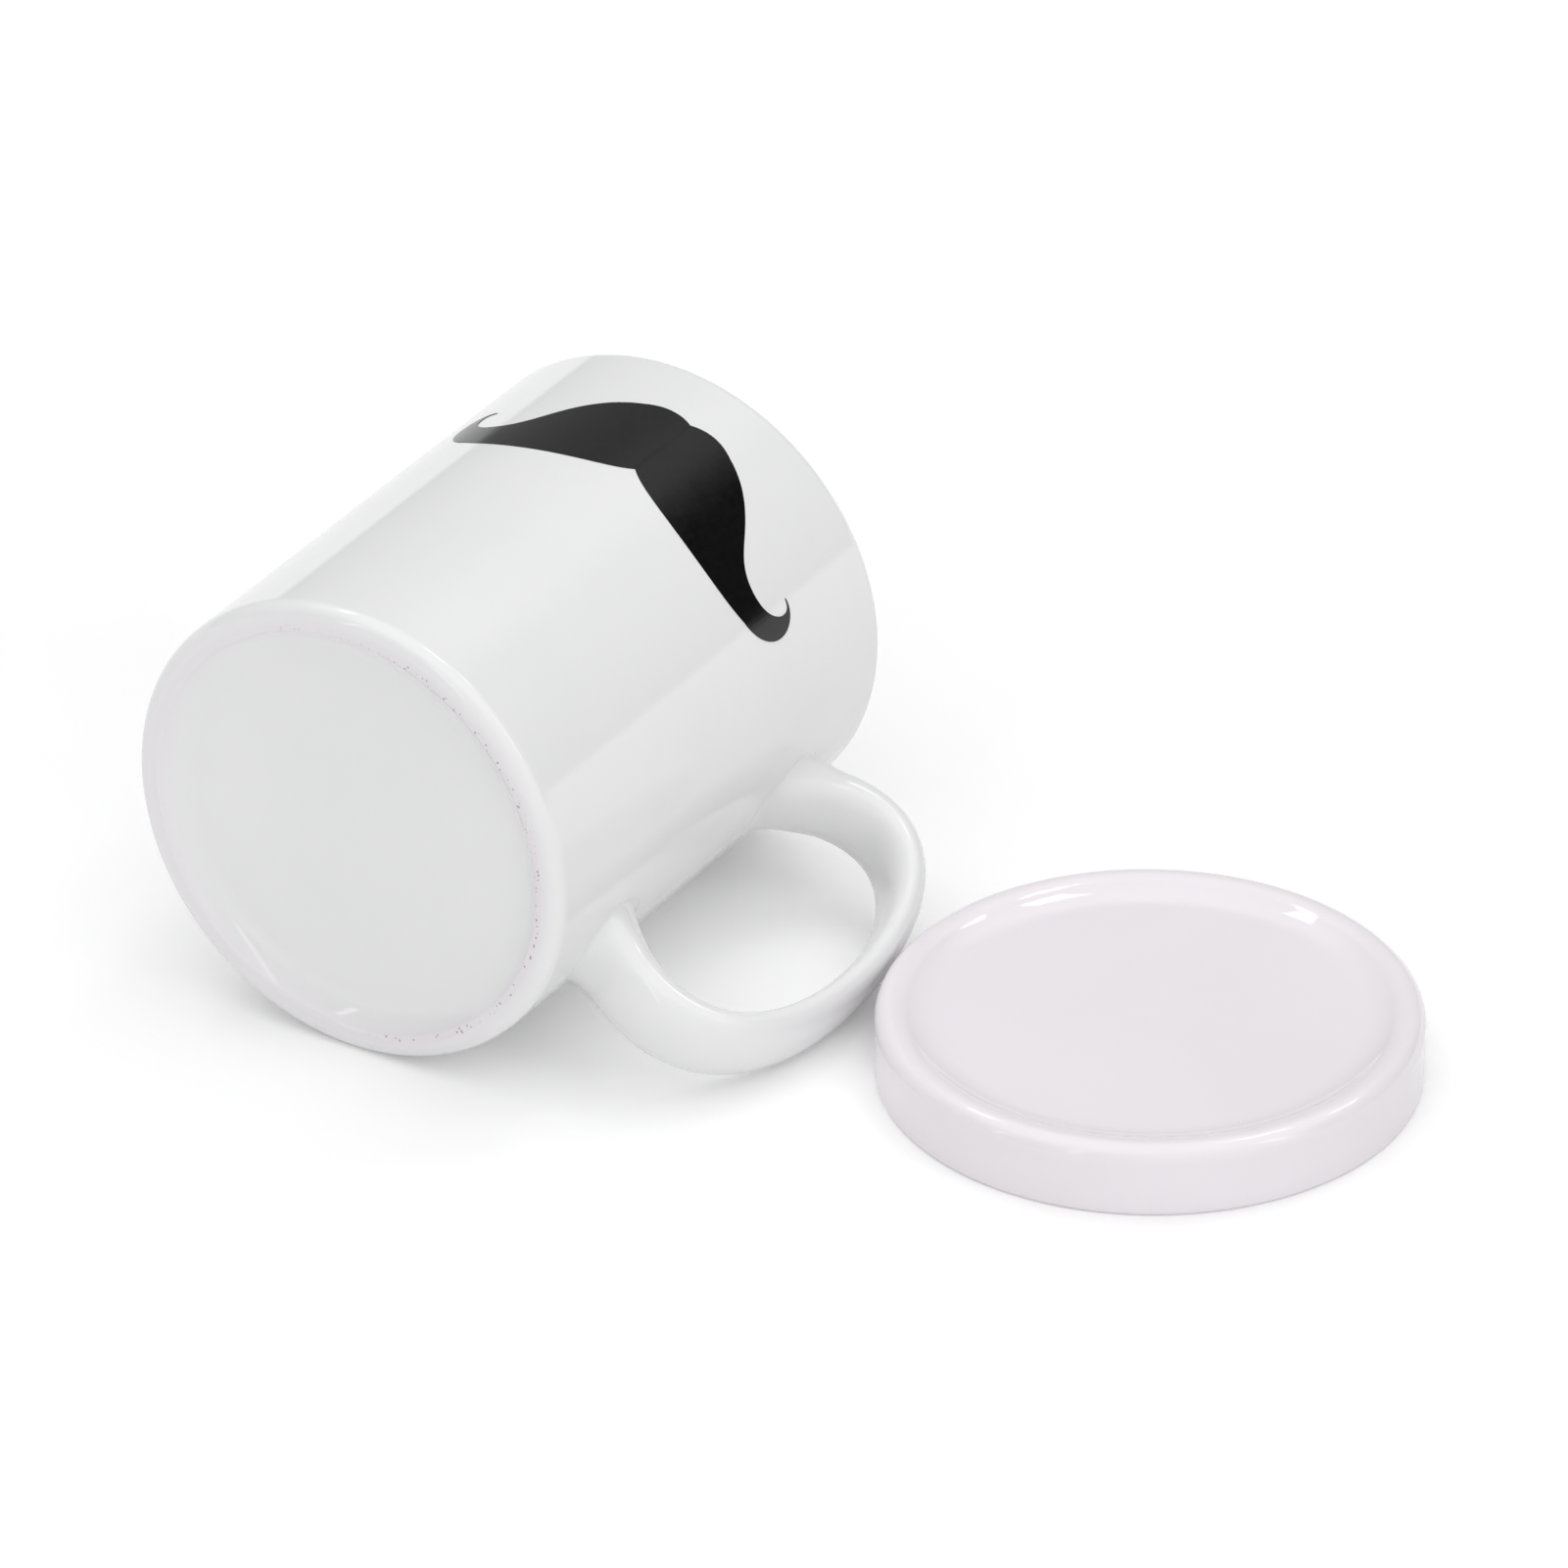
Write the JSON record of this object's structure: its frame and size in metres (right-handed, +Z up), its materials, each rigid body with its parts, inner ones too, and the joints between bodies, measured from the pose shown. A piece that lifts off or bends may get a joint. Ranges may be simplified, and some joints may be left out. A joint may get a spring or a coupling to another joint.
{
  "type": "lidded ceramic cup",
  "caption": "Straight-sided ceramic cup lying on its side, with a strap handle, a black handlebar mustache on its wall and a loose dished cap lid beside it.",
  "frame": {"origin": "on the surface the set lies on, under the middle of its bounding box", "axes": "+X along the cup's axis from foot to rim, +Z up from the surface, +Y from the lid towards the cup"},
  "size_m": [0.1064, 0.1946, 0.0801],
  "materials": {
    "white_glaze": "glossy white glaze, bare pinkish body on the foot ring",
    "black_transfer": "glossy black fired-on transfer",
    "lid_glaze": "glossy white glaze with a faint lilac cast"
  },
  "bodies": {
    "cup": {"cup_body": "white_glaze", "handle": "white_glaze", "mustache_decal": "black_transfer"},
    "lid": {"lid": "lid_glaze"}
  },
  "joints": [
    {"name": "lid_lift", "type": "slide", "parent": "cup", "child": "lid", "axis": [0, 0, 1], "range_m": [0, 0.1]}
  ]
}
